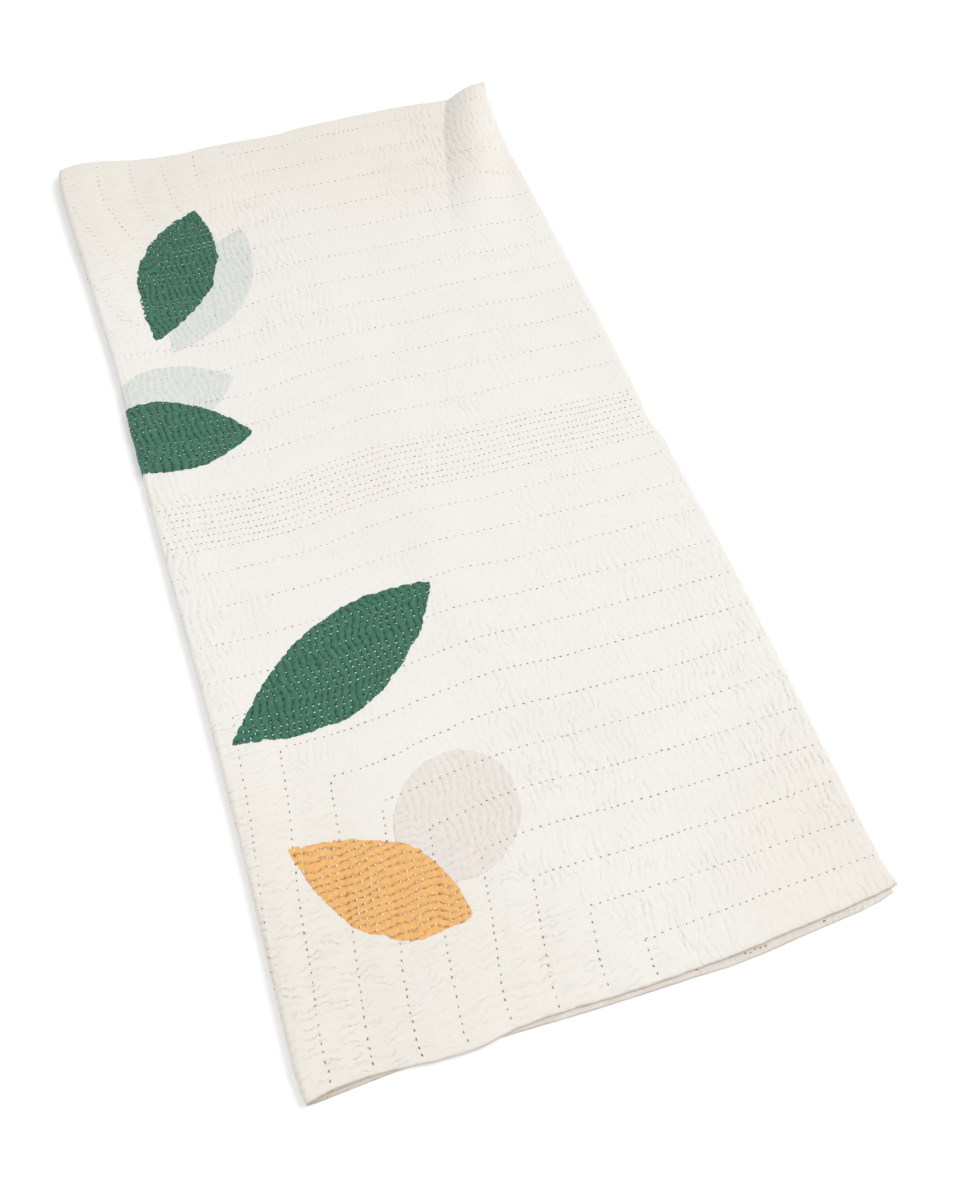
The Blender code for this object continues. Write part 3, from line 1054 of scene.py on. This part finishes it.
def stitchTree():
    # one running stitch on each point: a short arc of thread that dips into the cloth at both ends
    inputs = {
        "Points": "Geometry",
        **floats("Length", "Thread radius", "Rise", "Sink", "Spread"),
        **dict.fromkeys(("Sides", "Segments", "Seed"), "Int"),
        "Thread": "Material",
    }
    outputs = {"Stitches": "Geometry"}
    tree, given, made = newGroup("runningStitches", "GeometryNodeTree", inputs, outputs)
    link = tree.links.new
    half = calc(tree, "MULTIPLY", given["Length"], 0.5)
    back = calc(tree, "MULTIPLY", half, -1.0)
    down = calc(tree, "MULTIPLY", given["Sink"], -1.0)
    top = calc(tree, "MULTIPLY", given["Rise"], 2.0)
    arc = addNode(tree, "GeometryNodeCurveQuadraticBezier")
    link(given["Segments"], arc.inputs["Resolution"])
    for title, x, z in (("Start", back, down), ("Middle", 0.0, top), ("End", half, down)):
        place = addNode(tree, "ShaderNodeCombineXYZ")
        feed(tree, place.inputs["X"], x)
        feed(tree, place.inputs["Z"], z)
        link(place.outputs[0], arc.inputs[title])
    ring = addNode(tree, "GeometryNodeCurvePrimitiveCircle")
    link(given["Sides"], ring.inputs["Resolution"])
    link(given["Thread radius"], ring.inputs["Radius"])
    thread = addNode(tree, "GeometryNodeCurveToMesh")
    link(arc.outputs["Curve"], thread.inputs["Curve"])
    link(ring.outputs["Curve"], thread.inputs["Profile Curve"])
    thread.inputs["Fill Caps"].default_value = True

    points = addNode(tree, "GeometryNodeMeshToPoints")
    link(given["Points"], points.inputs["Mesh"])
    rotation = addNode(tree, "FunctionNodeAxesToRotation", primary_axis="X", secondary_axis="Z")
    for title, socket in (("stitchWay", "Primary Axis"), ("outWay", "Secondary Axis")):
        read = addNode(tree, "GeometryNodeInputNamedAttribute", data_type="FLOAT_VECTOR")
        read.inputs["Name"].default_value = title
        link(read.outputs["Attribute"], rotation.inputs[socket])
    size = addNode(tree, "FunctionNodeRandomValue", data_type="FLOAT")
    link(calc(tree, "SUBTRACT", 1.0, given["Spread"]), size.inputs[2])
    link(calc(tree, "ADD", 1.0, given["Spread"]), size.inputs[3])
    link(given["Seed"], size.inputs["Seed"])
    own = addNode(tree, "GeometryNodeInputNamedAttribute", data_type="FLOAT")
    own.inputs["Name"].default_value = "stitchSize"
    stitches = addNode(tree, "GeometryNodeInstanceOnPoints")
    link(points.outputs["Points"], stitches.inputs["Points"])
    link(thread.outputs["Mesh"], stitches.inputs["Instance"])
    link(rotation.outputs["Rotation"], stitches.inputs["Rotation"])
    link(calc(tree, "MULTIPLY", size.outputs[1], own.outputs["Attribute"]), stitches.inputs["Scale"])
    real = addNode(tree, "GeometryNodeRealizeInstances")
    smooth = addNode(tree, "GeometryNodeSetShadeSmooth")
    dyed = addNode(tree, "GeometryNodeSetMaterial")
    link(stitches.outputs["Instances"], real.inputs["Geometry"])
    link(real.outputs["Geometry"], smooth.inputs["Geometry"])
    link(smooth.outputs["Geometry"], dyed.inputs["Geometry"])
    link(given["Thread"], dyed.inputs["Material"])
    link(dyed.outputs["Geometry"], made["Stitches"])
    return tree


# Each kind of stitch: its thread, its size, how far it stands off the cloth, what share smaller it
# grows away from the near end, and by what share one may be smaller than the next.
threads = {
    "redStitches": {
        "thread": "red",
        "Length": 0.0022,
        "Thread radius": 0.00061,
        "Rise": 0.00050,
        "Sides": 5,
        "Segments": 4,
        "lift": 0.00022,
        "smaller": 0.17,
        "uneven": 0.38,
    },
    "redStitchesUnder": {
        "thread": "red",
        "Length": 0.0020,
        "Thread radius": 0.00055,
        "Rise": 0.0002,
        "Sides": 4,
        "Segments": 3,
        "lift": -0.0006,
        "smaller": 0.14,
        "uneven": 0.20,
    },
    "whiteStitches": {
        "thread": "white",
        "Length": 0.0022,
        "Thread radius": 0.00056,
        "Rise": 0.00055,
        "Sides": 6,
        "Segments": 4,
        "lift": 0.0005,
        "smaller": 0.14,
        "uneven": 0.20,
    },
}
undyedStitches = {
    "thread": "undyed",
    "Length": 0.0022,
    "Thread radius": 0.00036,
    "Rise": 0.00022,
    "Sides": 4,
    "Segments": 3,
    "lift": 0,
    "smaller": 0.14,
    "uneven": 0.0,
}
threads.update({"undyedStitchesNear": undyedStitches, "undyedStitchesFar": undyedStitches})


def makeStitches(name, places, tree, material, seed):
    size = threads[name]
    chance = np.random.default_rng(seed)
    jitter = chance.normal(0, sewing["jitter"], (len(places), 2))
    across = places[:, 0] + jitter[:, 0]
    along = places[:, 1] + jitter[:, 1]
    acrossWay, alongWay, outWay = clothWays(across, along)
    way = np.where(places[:, 2:3] > 0.5, alongWay, acrossWay)
    way = way + np.cross(outWay, way) * chance.normal(0, sewing["twist"], (len(places), 1))
    points = onCloth(across, along, patchTop(across, along) + size["lift"])
    away = smoothStep((places[:, 1] - sewing["smallFrom"]) / (sewing["smallTo"] - sewing["smallFrom"]))
    _, row = rowsAt(across, along)
    inBand = (row > bandFirst - 0.5) & (row < bandLast + 0.5)
    looser = sewing["lengthwiseSize"] - sewing["acrossSize"]
    sizes = sewing["acrossSize"] + looser * places[:, 2] - size["smaller"] * away
    sizes = sizes * np.where(inBand, 1 + sewing["bandLarger"], 1)
    uneven = size["uneven"] * (sewing["unevenNear"] + (1 - sewing["unevenNear"]) * away)
    sizes = sizes * (1 - uneven * chance.random(len(places)))
    return sewPoints(name, points, way, outWay, sizes, size, tree, material, seed)


def sewPoints(name, points, way, outWay, sizes, size, tree, material, seed):
    mesh = bpy.data.meshes.new(name)
    mesh.from_pydata(points.tolist(), [], [])
    layer = mesh.attributes.new("stitchSize", "FLOAT", "POINT")
    layer.data.foreach_set("value", sizes.astype(np.float32))
    for title, values in (("stitchWay", way), ("outWay", outWay)):
        layer = mesh.attributes.new(title, "FLOAT_VECTOR", "POINT")
        layer.data.foreach_set("vector", values.astype(np.float32).ravel())
    sewn = addObject(name + "Points", mesh)
    modifier = sewn.modifiers.new("stitches", "NODES")
    modifier.node_group = tree
    values = {**size, "Sink": sewing["sink"], "Spread": sewing["spread"], "Seed": seed, "Thread": material}
    for item in tree.interface.items_tree:
        if item.in_out == "INPUT" and item.name in values:
            modifier[item.identifier] = values[item.name]
    graph = bpy.context.evaluated_depsgraph_get()
    made = bpy.data.meshes.new_from_object(sewn.evaluated_get(graph))
    made.name = name
    sewn.modifiers.clear()
    bpy.data.objects.remove(sewn)
    piece = addObject(name, made)
    print(name + ":", len(points), "stitches,", countTriangles(piece), "triangles")
    return piece


def patchTop(across, along):
    # how far the topmost patch's face is above the quilt's own
    top = np.zeros(len(across))
    for patch in sorted(patchRows, key=lambda row: row.layer):
        inside = insidePatch(patch, across, along) > 0
        top = np.where(inside, top + patches["thick"] + patches["lift"], top)
    return top


# A few stitches show on the inside of the lower leaf, where its near end reaches past the upper's.
mouthStitches = {
    "across": (0.318, 0.358, 0.406, 0.4600, 0.4655, 0.4712, 0.4772, 0.4830, 0.552),
    "along": 0.0050,
    "jitter": 0.5 * mm,
    "out": 0.45,  # how far they are from the cloth's middle, as a share of its thickness
}


def sewMouth(tree, material):
    chance = np.random.default_rng(41)
    across = -np.array(mouthStitches["across"])
    along = mouthStitches["along"] + chance.normal(0, mouthStitches["jitter"], len(across))
    acrossWay, _, outWay = clothWays(across, along)
    points = clothMiddle(across, along) - outWay * quilt["cloth"] * mouthStitches["out"] + clothShift
    sizes = np.ones(len(across))
    look = threads["redStitches"]
    return sewPoints("redStitchesMouth", points, acrossWay, -outWay, sizes, look, tree, material, 42)


def blend(tree, share, a, b, kind="FLOAT"):
    # from a at 0 to b at 1, two numbers or, as "RGBA", two colours
    node = addNode(tree, "ShaderNodeMix", data_type=kind, clamp_factor=True)
    first, result = (6, 2) if kind == "RGBA" else (2, 0)
    for place, value in ((0, share), (first, a), (first + 1, b)):
        feed(tree, node.inputs[place], value)
    return node.outputs[result]


def noise(tree, place, scale, detail=2.0, distortion=0.0):
    node = addNode(tree, "ShaderNodeTexNoise")
    tree.links.new(place, node.inputs["Vector"])
    for title, value in (("Scale", scale), ("Detail", detail), ("Distortion", distortion)):
        node.inputs[title].default_value = value
    return node.outputs["Fac"]


def spread(tree, value, fromLow, fromHigh, toLow, toHigh):
    node = addNode(tree, "ShaderNodeMapRange")
    limits = {"From Min": fromLow, "From Max": fromHigh, "To Min": toLow, "To Max": toHigh}
    for title, number in limits.items():
        feed(tree, node.inputs[title], number)
    tree.links.new(value, node.inputs["Value"])
    return node.outputs["Result"]


# The cloth's grain. Here and in the tables below, a noise is given in waves to a metre, and four
# numbers together turn a noise between the first two into a share between the last two.
weave = {
    "wander": 1.2,  # how far the yarns wander
    "fibres": 700,
    "tones": 5.5,
    "slubs": 160,
}


def clothGrainGroup():
    # the cloth's yarns and fibres as a height, and tones that wander over it
    inputs = {"Place": "Vector", "Yarns": "Float"}
    outputs = floats("Height", "Tone", "Slub")
    tree, given, made = newGroup("clothGrain", "ShaderNodeTree", inputs, outputs)
    place = given["Place"]
    waves = []
    for direction in ("X", "Y"):
        wave = addNode(tree, "ShaderNodeTexWave", wave_type="BANDS", bands_direction=direction)
        wave.inputs["Distortion"].default_value = weave["wander"]
        wave.inputs["Detail"].default_value = 1.0
        tree.links.new(place, wave.inputs["Vector"])
        tree.links.new(given["Yarns"], wave.inputs["Scale"])
        waves.append(wave.outputs["Fac"])
    yarns = calc(tree, "MULTIPLY", *waves)
    tree.links.new(calc(tree, "ADD", yarns, noise(tree, place, weave["fibres"], 3)), made["Height"])
    tree.links.new(noise(tree, place, weave["tones"], 2.5), made["Tone"])
    tree.links.new(noise(tree, place, weave["slubs"], 4), made["Slub"])
    return tree


# The dips from stitch to stitch. Of two numbers the first is for all cloth, and loosely sewn
# cloth adds the second.
dips = {
    "wanderNoises": (190, 70),
    "wander": (0.5, 1.8),  # how far a dip strays from its place, in stitches
    "sharp": (2.7, -0.8),  # the power that narrows it
    "between": (0.3, 0.35),  # what is left of it midway between two rows
    "shortNoise": 55,
    "short": (0.42, 0.62, 0.12, 1.0),  # a loose dip's share of its depth
}


def stitchPuckersGroup():
    # the narrow dips that run from stitch to stitch, deepest at a row: 1 in a dip
    numbers = floats("Across phase", "Along phase", "Row", "Lengthwise", "Crinkled", "Loose")
    inputs = {"Place": "Vector", **numbers}
    tree, given, made = newGroup("stitchPuckers", "ShaderNodeTree", inputs, floats("Dip"))
    place, loose = given["Place"], given["Loose"]
    lengthwise = calc(tree, "GREATER_THAN", given["Lengthwise"], 0.5)
    phase = blend(tree, lengthwise, given["Across phase"], given["Along phase"])
    wander = []
    for scale, detail, amount in zip(dips["wanderNoises"], (1, 1.5), dips["wander"]):
        stray = calc(tree, "SUBTRACT", noise(tree, place, scale, detail), 0.5)
        wander.append(calc(tree, "MULTIPLY", stray, amount))
    phase = calc(tree, "ADD", phase, calc(tree, "MULTIPLY_ADD", wander[1], loose, wander[0]))
    wave = calc(tree, "ABSOLUTE", calc(tree, "COSINE", calc(tree, "MULTIPLY", phase, math.pi)))
    sharp = calc(tree, "MULTIPLY_ADD", loose, dips["sharp"][1], dips["sharp"][0])
    dip = calc(tree, "POWER", calc(tree, "SUBTRACT", 1.0, wave), sharp)
    # on loose cloth a dip runs on from row to row, and on a patch it is held at each one
    atRow = calc(tree, "COSINE", calc(tree, "MULTIPLY", given["Row"], math.pi))
    atRow = calc(tree, "POWER", calc(tree, "ABSOLUTE", atRow), 2.0)
    between = calc(tree, "MULTIPLY_ADD", loose, dips["between"][1], dips["between"][0])
    hold = calc(tree, "MULTIPLY_ADD", atRow, calc(tree, "SUBTRACT", 1.0, between), between)
    # on loose cloth most dips run out after a few rows, and calm places have nearly none
    short = spread(tree, noise(tree, place, dips["shortNoise"], 1.5), *dips["short"])
    kept = blend(tree, loose, 1.0, calc(tree, "MULTIPLY", given["Crinkled"], short))
    dip = calc(tree, "MULTIPLY", dip, hold)
    tree.links.new(calc(tree, "MULTIPLY", dip, kept), made["Dip"])
    return tree


wrinkles = {
    "narrow": 150,  # the noise across a wrinkle
    "long": 30,  # and along it
    "steep": 6.0,
    "patchyNoise": 30,
    "patchy": (0.40, 0.62, 0.25, 1.0),  # a place's share of their height
}


def looseWrinklesGroup():
    # short wrinkles square to the rows, in some places more than in others
    inputs = {"Place": "Vector", **floats("Lengthwise", "Crinkled")}
    tree, given, made = newGroup("looseWrinkles", "ShaderNodeTree", inputs, floats("Height"))
    narrow, long = wrinkles["narrow"], wrinkles["long"]
    heights = []
    for stretch in ((narrow, long, 1), (long, narrow, 1)):
        mapping = addNode(tree, "ShaderNodeMapping")
        mapping.inputs["Scale"].default_value = stretch
        tree.links.new(given["Place"], mapping.inputs["Vector"])
        ridge = calc(tree, "SUBTRACT", noise(tree, mapping.outputs["Vector"], 1.0, 1.0, 0.8), 0.5)
        ridge = calc(tree, "MULTIPLY", calc(tree, "ABSOLUTE", ridge), wrinkles["steep"])
        heights.append(calc(tree, "MINIMUM", ridge, 1.0))
    height = blend(tree, calc(tree, "GREATER_THAN", given["Lengthwise"], 0.5), *heights)
    patchy = spread(tree, noise(tree, given["Place"], wrinkles["patchyNoise"], 1.5), *wrinkles["patchy"])
    patchy = calc(tree, "MULTIPLY", patchy, given["Crinkled"])
    tree.links.new(calc(tree, "MULTIPLY", height, patchy), made["Height"])
    return tree


def bumpNode(tree, height, distance, strength, normal=None):
    node = addNode(tree, "ShaderNodeBump")
    node.inputs["Strength"].default_value = strength
    node.inputs["Distance"].default_value = distance
    tree.links.new(height, node.inputs["Height"])
    if normal:
        tree.links.new(normal, node.inputs["Normal"])
    return node.outputs["Normal"]


def noted(tree, title):
    return addNode(tree, "ShaderNodeAttribute", attribute_name=title).outputs["Fac"]


# The finish of the cotton and of its threads.
finish = {
    "cotton": {
        "Roughness": 0.88,
        "Specular IOR Level": 0.25,
        "Sheen Weight": 0.10,
        "Sheen Roughness": 0.5,
    },
    "thread": {"Roughness": 0.7, "Specular IOR Level": 0.3},
    "yarns": 420,
    "yarnHeight": 0.0002,
    "yarnStrength": 0.25,
    "wrinkleHeight": 0.0006,
    "ageing": (0.3, 0.7, -0.2, 0.25),  # what the grain's tone adds to a place's age
    "dyeNoise": 170,
    "dye": (0.35, 0.65, 0, 1),  # from a thread's dark tone to its light one
    "plyNoise": 2600,
    "plyHeight": 0.0001,
    "plyStrength": 0.5,
}


def newMaterial(name, look):
    material = bpy.data.materials.new(name)
    material.use_nodes = True
    shader = material.node_tree.nodes["Principled BSDF"]
    for title, value in look.items():
        shader.inputs[title].default_value = value
    return material, material.node_tree, shader


def cottonMaterial(name, look, groups):
    material, tree, shader = newMaterial(name, finish["cotton"])
    link = tree.links.new
    place = addNode(tree, "ShaderNodeUVMap", uv_map="flatCloth").outputs["UV"]
    grain, puckering, wrinkling = (addNode(tree, "ShaderNodeGroup", node_tree=group) for group in groups)
    notes = {
        "Across phase": "acrossPhase",
        "Along phase": "alongPhase",
        "Row": "row",
        "Lengthwise": "lengthwise",
        "Crinkled": "crinkled",
    }
    for node in (grain, puckering, wrinkling):
        link(place, node.inputs["Place"])
        for title, note in notes.items():
            if title in node.inputs:
                link(noted(tree, note), node.inputs[title])
    grain.inputs["Yarns"].default_value = finish["yarns"]
    puckering.inputs["Loose"].default_value = look["loose"]

    wandering = spread(tree, grain.outputs["Tone"], *finish["ageing"])
    aged = calc(tree, "ADD", noted(tree, "aged"), wandering)
    tone = blend(tree, aged, look["fresh"], look["aged"], "RGBA")
    # painted shade: the cotton turns dark tan along the near end's hem, inside the mouth between the
    # leaves and at the far open corner
    tone = blend(tree, noted(tree, "paintedShade"), tone, shadeTint["colour"], "RGBA")
    # painted shade: the colour darkens in each dip between the puffs, by the cotton's dip share
    dip = spread(tree, puckering.outputs["Dip"], 0, 0.8, 1.0, 1 - look["dip"])
    slub = spread(tree, grain.outputs["Slub"], 0.3, 0.7, 1 - look["slub"], 1 + look["slub"])
    colour = addNode(tree, "ShaderNodeVectorMath", operation="SCALE")
    link(tone, colour.inputs[0])
    link(calc(tree, "MULTIPLY", dip, slub), colour.inputs["Scale"])
    link(colour.outputs[0], shader.inputs["Base Color"])

    below = calc(tree, "SUBTRACT", 1.0, puckering.outputs["Dip"])
    normal = bumpNode(tree, wrinkling.outputs["Height"], finish["wrinkleHeight"], look["wrinkles"])
    normal = bumpNode(tree, below, look["valley"], 1.0, normal)
    normal = bumpNode(tree, grain.outputs["Height"], finish["yarnHeight"], finish["yarnStrength"], normal)
    link(normal, shader.inputs["Normal"])
    return material


# The dye differs a little from stitch to stitch, between two tones.
threadTones = {
    "red": {"dark": (0.340, 0.080, 0.044), "light": (0.510, 0.160, 0.088)},
    "white": {"dark": (0.850, 0.838, 0.803), "light": (0.910, 0.902, 0.877)},
    "undyed": {"dark": (0.775, 0.752, 0.702), "light": (0.825, 0.808, 0.768)},
}


def threadMaterial(name, tones):
    material, tree, shader = newMaterial(name, finish["thread"])
    place = addNode(tree, "ShaderNodeTexCoord").outputs["Object"]
    share = spread(tree, noise(tree, place, finish["dyeNoise"], 1), *finish["dye"])
    dyed = blend(tree, share, tones["dark"], tones["light"], "RGBA")
    tree.links.new(dyed, shader.inputs["Base Color"])
    twist = noise(tree, place, finish["plyNoise"], 1)
    plies = bumpNode(tree, twist, finish["plyHeight"], finish["plyStrength"])
    tree.links.new(plies, shader.inputs["Normal"])
    return material


# The camera, the lights, the light of the room and the floor.
studio = {
    "eye": (-0.2283, -0.7069, 1.1721),  # from the middle of the plain rectangle the quilt departs from
    "lookAt": (0.0171, -0.1830, 0.0),
    "roll": 6.0,
    "lens": 33.42,
    "sensor": 36,
    "nearClip": 0.05,
    "world": 0.72,
    "keyPlace": (5.0, 0.35, 5.1),
    "keySize": 3.5,
    "keyPower": 262,
    "fillPlace": (-1.6, -1.2, 2.6),
    "fillSize": 2.4,
    "fillPower": 24,
    "floorHalf": 6.0,
    "floorHeight": -0.0004,  # just under the quilt
    "floorColour": (0.93, 0.93, 0.93),
    "floorFinish": {"Roughness": 0.9, "Specular IOR Level": 0.1},
}


def makeFloor():
    mesh = bpy.data.meshes.new("floor")
    half = studio["floorHalf"]
    corners = [(-half, -half, 0), (half, -half, 0), (half, half, 0), (-half, half, 0)]
    mesh.from_pydata(corners, [], [(0, 1, 2, 3)])
    floor = addObject("floor", mesh)
    floor.location.z = studio["floorHeight"]
    material, tree, shader = newMaterial("floorWhite", studio["floorFinish"])
    feed(tree, shader.inputs["Base Color"], studio["floorColour"])
    mesh.materials.append(material)


def makeLight(name, place, size, power):
    light = bpy.data.lights.new(name, "AREA")
    light.shape = "SQUARE"
    light.size = size
    light.energy = power
    lamp = addObject(name, light)
    lamp.location = place
    lamp.rotation_euler = (-Vector(place)).to_track_quat("-Z", "Y").to_euler()


def makeStudio():
    scene = bpy.context.scene
    world = bpy.data.worlds.new("studio")
    world.use_nodes = True
    background = world.node_tree.nodes["Background"]
    background.inputs["Color"].default_value = (1, 1, 1, 1)
    background.inputs["Strength"].default_value = studio["world"]
    scene.world = world
    scene.view_settings.view_transform = "Standard"
    makeLight("keyLight", studio["keyPlace"], studio["keySize"], studio["keyPower"])
    makeLight("fillLight", studio["fillPlace"], studio["fillSize"], studio["fillPower"])
    camera = bpy.data.cameras.new("camera")
    camera.lens = studio["lens"]
    camera.sensor_width = studio["sensor"]
    camera.clip_start = studio["nearClip"]
    eye = addObject("camera", camera)
    place = Vector(studio["eye"]) + Vector(clothShift)
    gaze = Vector(studio["lookAt"]) - Vector(studio["eye"])
    roll = Matrix.Rotation(math.radians(studio["roll"]), 4, "Z")
    turned = gaze.to_track_quat("-Z", "Y").to_matrix().to_4x4() @ roll
    eye.matrix_world = Matrix.Translation(place) @ turned
    scene.camera = eye


def countTriangles(piece):
    return sum(len(face.vertices) - 2 for face in piece.data.polygons)


def main():
    groups = (clothGrainGroup(), stitchPuckersGroup(), looseWrinklesGroup())
    cotton = {name: cottonMaterial(name + "Cotton", look, groups) for name, look in cottons.items()}
    thread = {name: threadMaterial(name + "Thread", tones) for name, tones in threadTones.items()}
    quiltCloth = makeQuilt(cotton["undyed"])
    onQuilt = [makePatch(patch, cotton[patch.cloth]) for patch in patchRows]
    print("patches:", sum(countTriangles(piece) for piece in onQuilt), "triangles")
    tree = stitchTree()
    for seed, (name, places) in enumerate(sewStitches().items(), 21):
        onQuilt.append(makeStitches(name, places, tree, thread[threads[name]["thread"]], seed))
    onQuilt.append(sewMouth(tree, thread["red"]))
    print("all:", sum(countTriangles(piece) for piece in [quiltCloth, *onQuilt]), "triangles")
    makeFloor()
    makeStudio()
    for piece in [quiltCloth, *onQuilt]:
        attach(piece, "root")
    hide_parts("quilt")
    print("pieces joined to the frame")


main()
